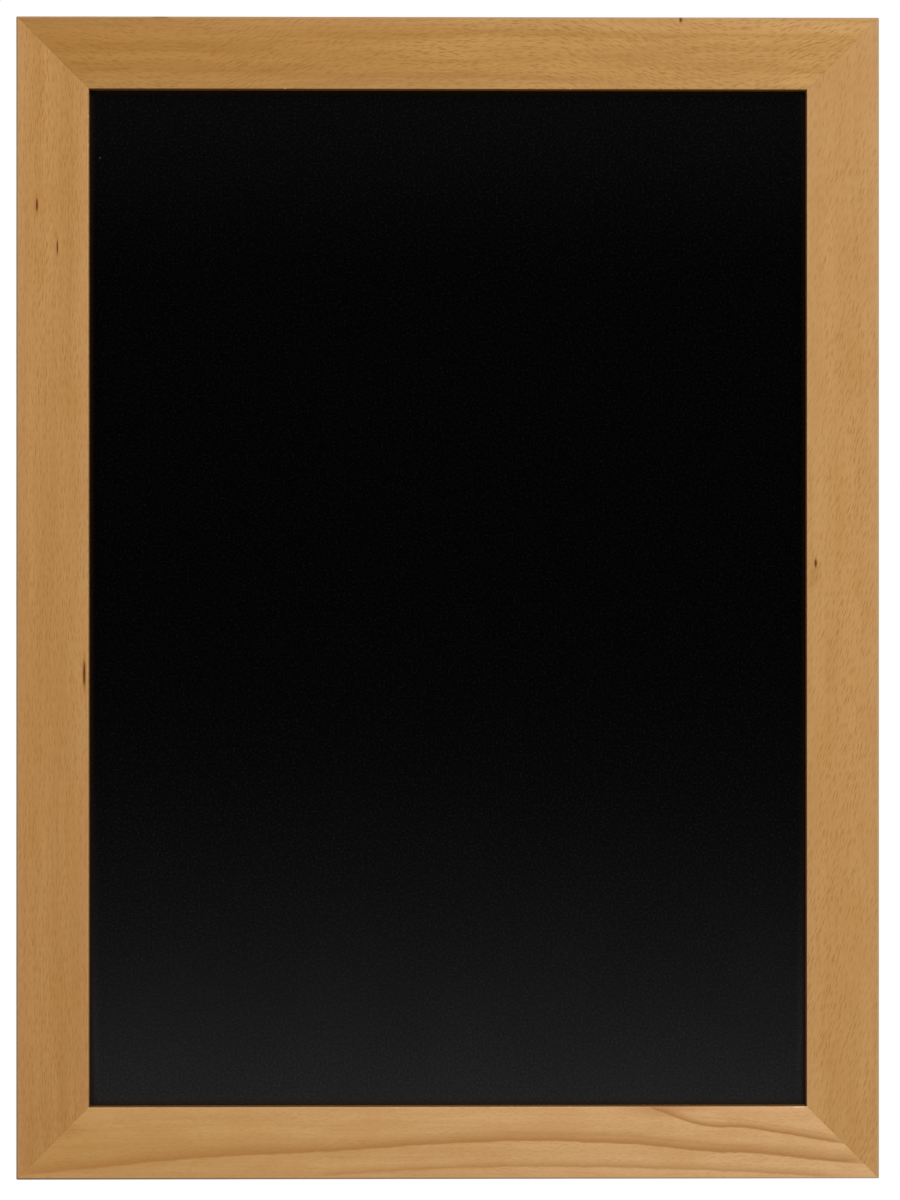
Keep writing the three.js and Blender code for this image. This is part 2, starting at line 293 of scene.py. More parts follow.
# Marks in the wood: what it is, the member, millimetres along it (right or up from the board's middle) and in
# from its outer edge, and the mark's length and width
MARKS = [
    ("knot", "left_stile", 270, 14.5, 9.0, 1.5),
    ("knot", "left_stile", 241, 28.5, 10.0, 1.0),
    ("knot", "left_stile", -52, 47.0, 18.0, 1.7),
    ("knot", "right_stile", 24, 44, 5.6, 1.6),
    ("stain", "right_stile", 15, 45, 16.0, 8.0),
    ("knot", "top_rail", 160, 2.2, 1.9, 3.2),
    ("bruise", "top_rail", -198, 0.9, 12.0, 1.6),
    ("stain", "bottom_rail", -262, 34, 26.0, 11.0),
    ("stain", "bottom_rail", 146, 49.5, 62.0, 12.0),
    ("stain", "right_stile", -234, 42.6, 10.0, 3.0),
    ("filler", "bottom_rail", 241.5, 49.6, 9.0, 0.9),
    ("chip", "left_stile", 331, 49.7, 2.4, 0.8),
    ("chip", "left_stile", 311, 49.7, 1.8, 0.7),
    ("chip", "top_rail", -112, 49.7, 2.2, 0.7),
    ("chip", "top_rail", 84, 49.7, 1.8, 0.7),
    ("chip", "bottom_rail", -35, 49.8, 1.6, 0.8),
    ("chip", "bottom_rail", 84, 49.8, 2.0, 0.8),
]
# How deep a mark goes into the wood, and which way a member's own X runs: 1 is right or up
MARK_DEPTH = 6.0
SENSES = {"top_rail": 1, "right_stile": -1, "bottom_rail": -1, "left_stile": 1}
# For each kind of mark, what it lays on the wood: a colour, how strong, and where it starts and ends to fade
MARK_LAYERS = {
    "knot": [((158, 96, 10), 0.6, 0.7, 2.4), ((92, 47, 0), 1.0, 0.6, 1.25)],
    "bruise": [((118, 66, 30), 0.7, 0.4, 1.3)],
    "stain": [((158, 98, 38), 0.3, 0.2, 1.3)],
    "filler": [((232, 212, 182), 0.75, 0.6, 1.2)],
    "chip": [((222, 190, 148), 0.8, 0.5, 1.2)],
}


def wood_places(tree, member):
    """A member's coordinates in millimetres: X along it, Y from its back, Z from its outer edge down."""
    place = node(tree, "TexCoord").outputs["Object"]
    wires = {
        "Vector": place,
        "Location": OUTER_MIDDLES[member],
        "Rotation": (0, TURNS[member], 0),
        "Scale": (MM, MM, MM),
    }
    return node(tree, "Mapping", wires, vector_type="TEXTURE").outputs[0]


def apart(tree, vector):
    return node(tree, "SeparateXYZ", {0: vector}).outputs


def together(tree, x, y, z):
    return node(tree, "CombineXYZ", {0: x, 1: y, 2: z}).outputs[0]


def fleck_field(tree, vector, spacing, size, lean):
    """Lens-shaped flecks along the grain: how far apart they lie, their length and width, their lean."""
    x, y, z = apart(tree, vector)
    along, across = spacing
    side = maths(tree, "ADD", z, maths(tree, "MULTIPLY", y, 0.9))
    place = together(tree, maths(tree, "DIVIDE", x, along), maths(tree, "DIVIDE", side, across), 0.0)
    wires = {"Vector": place, "Scale": 1.0, "Randomness": 1.0}
    found = node(tree, "TexVoronoi", wires, voronoi_dimensions="2D")
    luck, turn, _ = node(tree, "SeparateColor", {0: found.outputs["Color"]}).outputs
    from_middle = node(tree, "VectorMath", {0: place, 1: found.outputs["Position"]}, operation="SUBTRACT")
    along_it, across_it, _ = apart(tree, from_middle.outputs[0])
    along_it = maths(tree, "MULTIPLY", along_it, along)
    slope = maths(tree, "MULTIPLY_ADD", turn, lean, -lean / 2)
    across_it = maths(tree, "MULTIPLY_ADD", across_it, across, maths(tree, "MULTIPLY", along_it, slope))
    shrink = maths(tree, "MULTIPLY_ADD", luck, 0.9, 0.5)
    length, width = size
    shape = stretched(tree, together(tree, along_it, 0.0, across_it), length / 2, 1.0, width / 2)
    reach = node(tree, "VectorMath", {0: shape}, operation="LENGTH").outputs["Value"]
    lens = span(tree, maths(tree, "DIVIDE", reach, shrink), 0.35, 1.15, 1.0, 0.0)
    return maths(tree, "MULTIPLY", lens, maths(tree, "MULTIPLY_ADD", luck, 0.4, 0.5))


def growth_bands(tree, colour):
    """Darkens the wood above each band's edge, most at the edge and less the further up."""
    x, _, z = apart(tree, node(tree, "TexCoord").outputs["Object"])
    half = length_of("bottom_rail") / 2
    share = span(tree, x, -half, half, kind="LINEAR")
    height = maths(tree, "DIVIDE", maths(tree, "SUBTRACT", z, BOARD_BOTTOM), MM)
    ripple = noise(tree, together(tree, maths(tree, "DIVIDE", x, BAND_RIPPLE), 0.0, 0.0), 3.0)
    height = maths(tree, "ADD", height, maths(tree, "MULTIPLY_ADD", ripple, 2 * BAND_WAVER, -BAND_WAVER))
    for points, strength, fade in BANDS:
        line = node(tree, "FloatCurve", {"Value": share})
        curve = line.mapping.curves[0]
        for _ in points[2:]:
            curve.points.new(0.5, 0.5)
        for spot, (along, up) in zip(curve.points, points):
            spot.location = ((along * MM + half) / (2 * half), up / CURVE_RANGE + 0.5)
        line.mapping.extend = "EXTRAPOLATED"
        line.mapping.update()
        edge = maths(tree, "MULTIPLY_ADD", line.outputs[0], CURVE_RANGE, -CURVE_RANGE / 2)
        above = maths(tree, "SUBTRACT", height, edge)
        rise = span(tree, above, -0.3, 1.3)
        fall = maths(tree, "POWER", span(tree, above, 1.0, fade, 1.0, 0.0, "LINEAR"), 1.5)
        first, last = points[0][0] * MM, points[-1][0] * MM
        begun = span(tree, x, first - BAND_END, first + BAND_END)
        not_over = span(tree, x, last - BAND_END, last + BAND_END, 1.0, 0.0)
        dark = maths(tree, "MULTIPLY", rise, fall)
        dark = maths(tree, "MULTIPLY", dark, maths(tree, "MULTIPLY", begun, not_over))
        colour = tint(tree, maths(tree, "MULTIPLY", dark, strength), colour, BAND_BROWN)
    return colour


def add_marks(tree, member, local, colour):
    """Lays each of a member's marks on its wood, drawn out along the grain."""
    for kind, _, along, inward, length, width in [mark for mark in MARKS if mark[1] == member]:
        middle = (SENSES[member] * along, -DEPTH / MM, -inward)
        reach = reach_from(tree, local, middle, (2 / length, 1 / MARK_DEPTH, 2 / width))
        for laid, strength, start, end in MARK_LAYERS[kind]:
            colour = tint(tree, span(tree, reach, start, end, strength, 0.0), colour, paint(*laid))
    return colour


def fleck_strength(tree, member, ways, grain):
    """How strong the flecks are at each place: long ones with finer ones between, denser in patches."""
    wood = WOODS[member]
    long, wide = wood["fleck_size"]
    flecks = fleck_field(tree, ways, (long, wide * 2.1), (long, wide), FLECK_LEAN)
    fine = fleck_field(tree, ways, (long * 0.8, wide * 1.3), (long * 0.6, wide * 0.7), FINE_FLECK_LEAN)
    flecks = maths(tree, "MULTIPLY_ADD", fine, FINE_FLECK_SHARE, flecks)
    patchy = span(tree, noise(tree, stretched(tree, grain, *FLECK_PATCHES), 2.0), 0.3, 0.7, 0.65, 1.0)
    return maths(tree, "MULTIPLY", maths(tree, "MULTIPLY", flecks, patchy), wood["fleck"], clamp=True)


def margins_and_edge_light(tree, member, local, share, colour):
    """Pales a member's margins, paints sheen and shade on its outer arris and paints a highlight on its sight
    edge.
    """
    _, depth, height = apart(tree, local)
    inward = maths(tree, "MULTIPLY", height, -1.0)
    face, front = FACE / MM, -DEPTH / MM
    margin = maths(tree, "MINIMUM", inward, maths(tree, "SUBTRACT", face, inward))
    colour = tint(tree, span(tree, margin, 1.0, 13.0, 0.1, 0.0), colour, PALE_MARGIN)
    # Painted sheen and shade: the outer arris takes its member's arris colour, paler where it turns to the
    # light and darker where it turns away
    arris = tint(tree, share, *[paint(*tone) for tone in WOODS[member]["arris"]])
    arris_light_reach = span(tree, inward, 0.9, 1.9, 0.8, 0.0)
    near_front = span(tree, depth, front + 1.5, front + 4.0, 1.0, 0.0)
    colour = tint(tree, maths(tree, "MULTIPLY", arris_light_reach, near_front), colour, arris)
    # Painted highlight: a pale line where the sight edge's small arris catches the light
    bare = span(tree, inward, face - 1.0, face - 0.3, 0.0, WOODS[member]["sight"])
    return tint(tree, bare, colour, SIGHT_HIGHLIGHT)


def shade_lip(tree, local, colour):
    """Darkens the lip's inner wall, which turns towards the panel."""
    _, depth, height = apart(tree, local)
    inward = maths(tree, "MULTIPLY", height, -1.0)
    wall = span(tree, inward, FACE / MM - 0.2, FACE / MM - 0.1)
    below = span(tree, depth, -DEPTH / MM + 0.3, -DEPTH / MM + 0.9)
    return tint(tree, maths(tree, "MULTIPLY", wall, below), colour, SHADED_LIP)


def lacquered_beech(member):
    """A member's wood as it grew, then its flecks, fibres, the painted light and shade on its edges, and its
    marks, under satin lacquer.
    """
    wood = WOODS[member]
    material, tree, surface = new_material("beech_" + member)
    local = wood_places(tree, member)
    patch = (wood["seed"] * 40, 0, wood["seed"] * 7)
    seeded = node(tree, "VectorMath", {0: local, 1: patch}, operation="ADD").outputs[0]
    waves = noise(tree, stretched(tree, seeded, *WAVES), 1.0)
    bend = maths(tree, "MULTIPLY_ADD", waves, 2 * wood["wave"], -wood["wave"])
    x, y, z = apart(tree, seeded)
    grain = together(tree, x, y, maths(tree, "ADD", z, bend))
    along = apart(tree, local)[0]
    half = length_of(member) / 2 / MM
    share = span(tree, along, -half, half, kind="LINEAR")

    wide = noise(tree, stretched(tree, grain, *WIDE_STREAKS), 3.0)
    narrow = noise(tree, stretched(tree, grain, *NARROW_STREAKS), 4.0, 0.6)
    fuzz = noise(tree, stretched(tree, grain, *FUZZ), 2.0, 0.6)
    fibres = noise(tree, stretched(tree, grain, *FIBRES), 2.0)
    figure = weighted(tree, (wide, 0.5), (narrow, 0.35), (fuzz, 0.15))
    deep, ground = [tint(tree, share, *[paint(*tone) for tone in wood[part]]) for part in ("deep", "ground")]
    colour = tint(tree, span(tree, figure, 0.36, 0.64), deep, ground)
    if member == "bottom_rail":
        colour = growth_bands(tree, colour)

    slid = maths(tree, "MULTIPLY_ADD", x, wood["slant"], z)
    if member == "top_rail":
        for start, end, drop in TOP_DIPS:
            slid = maths(tree, "ADD", slid, span(tree, along, start, end, 0.0, drop))
    ways = together(tree, x, y, maths(tree, "ADD", slid, bend))
    flecks = fleck_strength(tree, member, ways, grain)
    colour = tint(tree, flecks, colour, FLECK_BROWN)
    blotch = noise(tree, stretched(tree, grain, *BLOTCHES), 2.0)
    colour = tint(tree, span(tree, blotch, 0.35, 0.7, 0.0, 0.2), colour, BLOTCH_BROWN)
    lines = maths(tree, "MULTIPLY_ADD", fibres, 0.16, 0.94)
    colour = node(tree, "VectorMath", {0: colour, "Scale": lines}, operation="SCALE").outputs[0]
    # Painted light on the edges: sheen and shade on the outer arris, and a highlight on the sight edge
    colour = margins_and_edge_light(tree, member, local, share, colour)
    colour = add_marks(tree, member, local, colour)
    tree.links.new(shade_lip(tree, local, colour), surface.inputs["Base Color"])

    satin = maths(tree, "MULTIPLY_ADD", narrow, 0.12, 0.44)
    tree.links.new(satin, surface.inputs["Roughness"])
    surface.inputs["Specular IOR Level"].default_value = 0.2
    relief = maths(tree, "SUBTRACT", maths(tree, "MULTIPLY", fibres, 0.4), flecks)
    bump(tree, surface, relief, 0.15, 0.05 * MM)
    return material


def frame_stock(length):
    """A straight length of frame stock along X with its outer edge up: lip, rebate and eased arrises."""
    bar = block((-length / 2, -DEPTH, -FACE), (length / 2, LIP - DEPTH, 0))
    edit(bar)
    bpy.ops.mesh.bisect(plane_co=(0, 0, -BACK_WIDTH), plane_no=(0, 0, 1))
    pick(bar, "FACE", lambda middle, face: face.normal.y > 0.9 and middle.z > -BACK_WIDTH)
    pull(0, DEPTH - LIP, 0)
    for y, z, radius, steps in [
        (-DEPTH, 0, FRONT_ARRIS, 6),
        (-DEPTH, -FACE, SIGHT_ARRIS, 4),
        (0, 0, BACK_ARRIS, 4),
    ]:
        pick(bar, "EDGE", lambda middle, edge: abs(middle.y - y) + abs(middle.z - z) + abs(middle.x) < NEAR)
        bpy.ops.mesh.bevel(offset=radius, segments=steps, affect="EDGES")
    pick(bar, "EDGE", lambda middle, edge: abs(middle.x) < NEAR)
    bpy.ops.mesh.subdivide(number_cuts=STOCK_CUTS)
    close()
    return bar


def saw(bar, place, normal):
    """Saws a bar square across the plane that is given, and drops the part on the normal's side."""
    edit(bar)
    bpy.ops.mesh.select_all(action="SELECT")
    bpy.ops.mesh.bisect(plane_co=place, plane_no=normal, clear_outer=True, use_fill=True)
    close()


def mitre(bar, length):
    """Saws both ends to 45 degrees, then rounds the tips at the board's corners a little."""
    set_back = GLUE_LINE / 2 * math.sqrt(2)
    for end in (-1, 1):
        saw(bar, (end * (length / 2 - set_back), 0, 0), (end, 0, -1))
        middle = Vector((end * (length / 2 - CORNER_ROUND), 0, -CORNER_ROUND))
        for degrees in CORNER_TURNS:
            turn = math.radians(degrees)
            out = Vector((end * math.cos(turn), 0, math.sin(turn)))
            saw(bar, middle + out * CORNER_ROUND, out)


def plane_by_hand(bar):
    """The face isn't dead flat and the arrises aren't dead straight: a few hundredths of a millimetre."""
    ripple = bpy.data.textures.new("planing", "CLOUDS")
    ripple.noise_scale = PLANING_STEP
    depth = PLANING_DEPTH
    shape_with(bar, "DISPLACE", texture=ripple, texture_coords="LOCAL", strength=depth, mid_level=1.0)


for member, turn in TURNS.items():
    bar = frame_stock(length_of(member))
    bar.name = "beech_" + member
    mitre(bar, length_of(member))
    plane_by_hand(bar)
    settle(bar, OUTER_MIDDLES[member], (0, turn, 0))
    smooth(bar)
    bar.data.materials.append(lacquered_beech(member))
    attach(bar, "board")
    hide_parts(member)

# Corner wedges. V-shaped steel nails, rolled from strip and ground to an edge at the front. Two of them are
# pressed into the back of each mitre, one leg in each member, until they lie just under the wood's surface.

# The strip's thickness, the length of its ground edge and what is ground off each side there
WEDGE_THICK = 0.5 * MM
WEDGE_EDGE = 0.8 * MM
WEDGE_GRIND = 0.18 * MM
WEDGE_EASE = 0.07 * MM
# The room round a wedge in its slot, and how far a cutter stands out of what it cuts
WEDGE_SLIT = 0.08 * MM
CUT_PAST = 1 * MM
WELD = 0.001 * MM


def zinc_plate(name, bright, dull, scratches):
    """Bright zinc plate, clouded a little, with fine wear lines along Z."""
    material, tree, surface = new_material(name)
    place = node(tree, "TexCoord").outputs["Object"]
    bloom = noise(tree, stretched(tree, place, 2.6 * MM, 2.6 * MM, 2.6 * MM), 4.0, 0.6)
    wear = noise(tree, stretched(tree, place, 0.12 * MM, 0.12 * MM, 3 * MM), 2.0)
    colour = tint(tree, bloom, paint(*dull), paint(*bright))
    tree.links.new(colour, surface.inputs["Base Color"])
    surface.inputs["Metallic"].default_value = 1.0
    rough = maths(tree, "MULTIPLY_ADD", wear, 0.1, maths(tree, "MULTIPLY_ADD", bloom, 0.22, 0.26))
    tree.links.new(rough, surface.inputs["Roughness"])
    bump(tree, surface, maths(tree, "MULTIPLY_ADD", wear, scratches, bloom), 0.2, 0.03 * MM)
    return material


def weld(piece):
    """Joins points that lie on each other, which a bevel or a cut can leave."""
    edit(piece)
    bpy.ops.mesh.select_all(action="SELECT")
    bpy.ops.mesh.remove_doubles(threshold=WELD)
    close()


def ease(piece, width, segments=2, degrees=35):
    """Rounds every edge that is sharper than an angle."""
    sharp = math.radians(degrees)
    shape_with(piece, "BEVEL", width=width, segments=segments, limit_method="ANGLE", angle_limit=sharp)
    weld(piece)


def join_cutters(cutters):
    """Makes one cutter of several that don't touch."""
    bpy.ops.object.select_all(action="DESELECT")
    for cutter in cutters:
        cutter.select_set(True)
    bpy.context.view_layer.objects.active = cutters[0]
    bpy.ops.object.join()
    return bpy.context.object


def angle_blade(low, high, right, up, thick):
    """A blade with two legs at right angles, as it is seen from behind, with its apex at the outer corner."""
    apex = Vector((high.x if right else low.x, 0, high.z if up else low.z))
    inner_x = apex.x + (-thick if right else thick)
    inner_z = apex.z + (-thick if up else thick)
    leg = block((low.x, low.y, min(apex.z, inner_z)), (high.x, high.y, max(apex.z, inner_z)))
    edit(leg)
    bpy.ops.mesh.select_all(action="SELECT")
    bpy.ops.mesh.bisect(plane_co=(inner_x, 0, 0), plane_no=(1, 0, 0))
    root = Vector(((apex.x + inner_x) / 2, (low.y + high.y) / 2, inner_z))
    pick(leg, "FACE", lambda middle, face: (middle - root).length < NEAR)
    pull(0, 0, (low.z if up else high.z) - inner_z)
    close()
    return leg


wedge_zinc = zinc_plate("wedge_zinc", (176, 177, 178), (132, 133, 134), 1.0)
slots = {member: [] for member in TURNS}
for name in sorted(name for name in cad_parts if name.startswith("corner_wedge")):
    low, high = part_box(name)
    right, up = "right" in name, "top" in name
    wedge = angle_blade(Vector((low.x, low.y + WEDGE_EDGE, low.z)), high, right, up, WEDGE_THICK)
    wedge.name = "steel_" + name
    edit(wedge)
    pick(wedge, "FACE", lambda middle, face: face.normal.y < -0.9)
    bpy.ops.mesh.inset(thickness=WEDGE_GRIND, use_even_offset=True)
    bpy.ops.transform.translate(value=(0, -WEDGE_EDGE, 0))
    close()
    ease(wedge, WEDGE_EASE)
    smooth(wedge)
    wedge.data.materials.append(wedge_zinc)
    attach(wedge, "board")
    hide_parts(name)
    grow = Vector((WEDGE_SLIT, WEDGE_SLIT, WEDGE_SLIT))
    thick = WEDGE_THICK + 2 * WEDGE_SLIT
    for member in ("top_rail" if up else "bottom_rail", "right_stile" if right else "left_stile"):
        top = Vector((high.x, BACK + CUT_PAST, high.z)) + grow
        slots[member].append(angle_blade(low - grow, top, right, up, thick))
for member, cutters in slots.items():
    bar = bpy.data.objects["beech_" + member]
    cut(bar, join_cutters(cutters))
    smooth(bar)

# Writing panel. A sheet of 3 mm hardboard, held in the frame's rebate. Its face has a rolled matt black
# coat that takes chalk, with a painted reflection that greys it towards its lower edge, and its back is bare
# brown board.

PANEL_EASE = 0.25 * MM
PANEL_MARGIN = 12 * MM
SCREEN_PITCH = 1.9 * MM
# The coat's black, the grey of its painted reflection and dust, the grey of chalk, and the frame's warm
# bounced light painted along the lip
COAT_BLACK, SHEEN_DUST_GREY = paint(1, 1, 1), paint(35, 34, 34)
CHALK_GREY, PAINTED_FRAME_BOUNCE = paint(84, 84, 82), paint(38, 23, 10)
HARDBOARD_DARK, HARDBOARD_LIGHT = paint(112, 79, 50), paint(150, 112, 76)
# How far the painted reflection reaches up from the coat's lower end, and the dust down from its upper end,
# then how far in from the frame the painted reflection is stronger and the frame's warm bounced light is
# painted on it
SHEEN_HEIGHT, DUST_HEIGHT = 500 * MM, 140 * MM
RIM_WIDTH, BOUNCE_WIDTH = 8 * MM, 4 * MM
# A faint upright scratch in the coat and a speck of chalk: millimetres right of the board's middle and up
# from the origin, length, width and strength
SCRATCHES = [(208.5, 235.9, 12.0, 1.0, 0.2), (-240.0, -16.5, 1.3, 1.3, 0.55)]


def writing_coat():
    """Rolled matt black with a fine speckle and some dust at its upper end, and painted light: a reflection
    that greys it towards its lower end and more near the frame, and the frame's warm bounced light along the
    lip.
    """
    material, tree, surface = new_material("writing_coat")
    place = node(tree, "TexCoord").outputs["Object"]
    x, _, z = apart(tree, place)
    low_end, high_end = BOARD_BOTTOM + FACE, BOARD_TOP - FACE
    # Painted reflection: the coat greys towards its lower end
    sheen_and_dust = maths(tree, "POWER", span(tree, z, low_end, low_end + SHEEN_HEIGHT, 1.0, 0.0, "LINEAR"), 4.0)
    dust = span(tree, z, high_end - DUST_HEIGHT, high_end)
    sheen_and_dust = maths(tree, "MULTIPLY_ADD", dust, 0.1, sheen_and_dust)
    aside = maths(tree, "SUBTRACT", BOARD_RIGHT - FACE, maths(tree, "ABSOLUTE", x))
    rim = maths(tree, "MINIMUM", aside, maths(tree, "SUBTRACT", z, low_end))
    bounce_reach = maths(tree, "MINIMUM", rim, maths(tree, "SUBTRACT", high_end, z))
    # Painted reflection, stronger near the frame's sides and lower edge
    sheen_and_dust = maths(tree, "MULTIPLY", sheen_and_dust, span(tree, rim, 0.0, RIM_WIDTH, 1.9, 1.0))
    speckle = noise(tree, stretched(tree, place, 1.5 * MM, 1.5 * MM, 1.5 * MM), 1.0, 0.7)
    cloud = noise(tree, stretched(tree, place, 60 * MM, 60 * MM, 90 * MM), 2.0)
    grain = span(tree, speckle, 0.3, 0.7, 0.78, 1.22, "LINEAR")
    tone = maths(tree, "MULTIPLY", grain, span(tree, cloud, 0.2, 0.8, 0.93, 1.07, "LINEAR"))
    # The painted reflection and the dust, laid in grey over the black
    colour = tint(tree, sheen_and_dust, COAT_BLACK, SHEEN_DUST_GREY)
    colour = node(tree, "VectorMath", {0: colour, "Scale": tone}, operation="SCALE").outputs[0]
    bright = span(tree, speckle, 0.5, 0.75, 0.0, 0.0032)
    lift = together(tree, bright, bright, bright)
    colour = node(tree, "VectorMath", {0: colour, 1: lift}, operation="ADD").outputs[0]
    # Painted bounce light: the frame's warm colour laid on the coat along the lip
    colour = tint(tree, span(tree, bounce_reach, 0.0, BOUNCE_WIDTH, 0.6, 0.0), colour, PAINTED_FRAME_BOUNCE)
    for across, up, length, width, strength in SCRATCHES:
        scale = (2 / (width * MM), 0, 2 / (length * MM))
        reach = reach_from(tree, place, (across * MM, 0, up * MM), scale)
        colour = tint(tree, span(tree, reach, 0.3, 1.3, strength, 0.0), colour, CHALK_GREY)
    tree.links.new(colour, surface.inputs["Base Color"])
    surface.inputs["Roughness"].default_value = 0.7
    surface.inputs["Specular IOR Level"].default_value = 0.008
    bump(tree, surface, speckle, 0.3, 0.04 * MM)
    return material


def bare_hardboard():
    """Brown fibreboard, with the print of the wire screen that it was pressed on."""
    material, tree, surface = new_material("bare_hardboard")
    place = node(tree, "TexCoord").outputs["Object"]
    fluff = noise(tree, stretched(tree, place, 1.6 * MM, 1.6 * MM, 1.3 * MM), 4.0, 0.7)
    cloud = noise(tree, stretched(tree, place, 70 * MM, 70 * MM, 50 * MM), 2.0)
    wires = [
        maths(tree, "SINE", maths(tree, "MULTIPLY", way, 2 * math.pi / SCREEN_PITCH))
        for way in (apart(tree, place)[0], apart(tree, place)[2])
    ]
    screen = maths(tree, "MULTIPLY", maths(tree, "ADD", *wires), 0.25)
    tone = weighted(tree, (fluff, 0.85), (cloud, 0.15), (screen, 0.25))
    colour = tint(tree, span(tree, tone, 0.25, 0.75), HARDBOARD_DARK, HARDBOARD_LIGHT)
    tree.links.new(colour, surface.inputs["Base Color"])
    surface.inputs["Roughness"].default_value = 0.85
    surface.inputs["Specular IOR Level"].default_value = 0.2
    bump(tree, surface, maths(tree, "ADD", screen, fluff), 0.6, 0.15 * MM)
    return material


low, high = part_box("writing_panel")
panel = block(low, high)
panel.name = "hardboard_panel"
edit(panel)
pick(panel, "FACE", lambda middle, face: abs(face.normal.y) > 0.9)
bpy.ops.mesh.inset(thickness=PANEL_MARGIN)
pick(panel, "EDGE", lambda middle, edge: abs(middle.y - low.y) < NEAR and abs(middle.x) > high.x - NEAR)
bpy.ops.mesh.bevel(offset=PANEL_EASE, segments=3, affect="EDGES")
close()
panel.data.materials.append(writing_coat())
panel.data.materials.append(bare_hardboard())
for face in panel.data.polygons:
    face.material_index = 0 if face.normal.y < -0.3 else 1
smooth(panel)
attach(panel, "board")
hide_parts("writing_panel")

# Panel points. Flat steel points, cut from thin zinc-plated strip. They are driven into the rebate's wall
# behind the panel and hold it against the lip: four on each stile and three on each rail.

POINT_WIDTH = 6 * MM
POINT_BURY = 8 * MM
POINT_TAPER = 3 * MM
POINT_TIP = 0.3 * MM
POINT_CORNER = 1.2 * MM
POINT_EASE = 0.08 * MM
# The room round a point in its slit, and how far the slit's cutter stands out of the wood
POINT_SLIT = 0.06 * MM
SLIT_PAST = 0.2 * MM


def side_of(name):
    """A point's side of the board: its member, and the direction from that member's outer edge inwards."""
    side = name.split("_")[2]
    inward = {"top": (0, 0, -1), "bottom": (0, 0, 1), "left": (1, 0, 0), "right": (-1, 0, 0)}[side]
    return {"top": "top_rail", "bottom": "bottom_rail"}.get(side, side + "_stile"), Vector(inward)


point_zinc = zinc_plate("point_zinc", (196, 198, 200), (160, 162, 165), 0.6)
slits = {member: [] for member in TURNS}
for name in sorted(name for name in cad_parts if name.startswith("panel_point")):
    low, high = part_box(name)
    member, inward = side_of(name)
    reach = abs((high - low).dot(inward)) / 2
    free_end, tip = (low + high) / 2 + inward * reach, (low + high) / 2 - inward * reach
    point = block(low, high)
    point.name = "steel_" + name
    edit(point)
    bpy.ops.mesh.select_all(action="SELECT")
    bpy.ops.mesh.bisect(plane_co=tip + inward * POINT_TAPER, plane_no=inward)
    pick(point, "FACE", lambda middle, face: abs((middle - tip).dot(inward)) < NEAR)
    narrow = POINT_TIP / POINT_WIDTH
    shrink = (narrow, 1, 1) if inward.x == 0 else (1, 1, narrow)
    bpy.ops.transform.resize(value=shrink, center_override=tip)
    pick(point, "EDGE", lambda middle, edge: abs((middle - free_end).dot(inward)) < NEAR
         and abs(edge.verts[0].co.y - edge.verts[1].co.y) > NEAR)
    bpy.ops.mesh.bevel(offset=POINT_CORNER, segments=5, affect="EDGES")
    close()
    ease(point, POINT_EASE)
    smooth(point)
    point.data.materials.append(point_zinc)
    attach(point, "board")
    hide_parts(name)
    grow = Vector((POINT_SLIT, POINT_SLIT, POINT_SLIT))
    wall = tip + inward * (POINT_BURY + SLIT_PAST)
    slit_low, slit_high = low - grow, high + grow
    for axis in (0, 2):
        if inward[axis] > 0:
            slit_high[axis] = wall[axis]
        elif inward[axis] < 0:
            slit_low[axis] = wall[axis]
    slits[member].append(block(slit_low, slit_high))
for member, cutters in slits.items():
    bar = bpy.data.objects["beech_" + member]
    cut(bar, join_cutters(cutters))
    smooth(bar)

# Hanger straps. A strip of zinc-plated steel folded round the ring's straight side, with both layers lying
# on the back of a stile. Its corners are cropped round and two screws go through both layers.

STRAP_SHEET = 0.8 * MM
STRAP_WIDTH = 12 * MM
STRAP_LENGTH = 36 * MM
EYE_INNER = 1.15 * MM
EYE_OUTER = EYE_INNER + STRAP_SHEET
LAYER_GAP = 0.02 * MM
TAIL_ROUND = 5.9 * MM
STRAP_HOLE = 1.8 * MM
STRAP_EASE = 0.12 * MM
HOLE_CUTTER = 10 * MM
# The fold turns on past half a circle, and the second layer then leans back in before it bends down
FOLD_TURN = math.radians(222)
PINCH_TURN = FOLD_TURN - math.pi
PINCH_RADIUS = 1.6 * MM
SCREW_DROPS = (18 * MM, 30 * MM)
SIDES = ("left", "right")
strap_zinc = zinc_plate("strap_zinc", (206, 208, 209), (168, 170, 173), 0.5)


def upright_rod(radius, depth, place):
    """A round rod square to the board, to cut holes with."""
    bpy.ops.object.select_all(action="DESELECT")
    bpy.ops.mesh.primitive_cylinder_add(vertices=32, radius=radius, depth=depth)
    rod = bpy.context.object
    settle(rod, place, (math.pi / 2, 0, 0))
    return rod


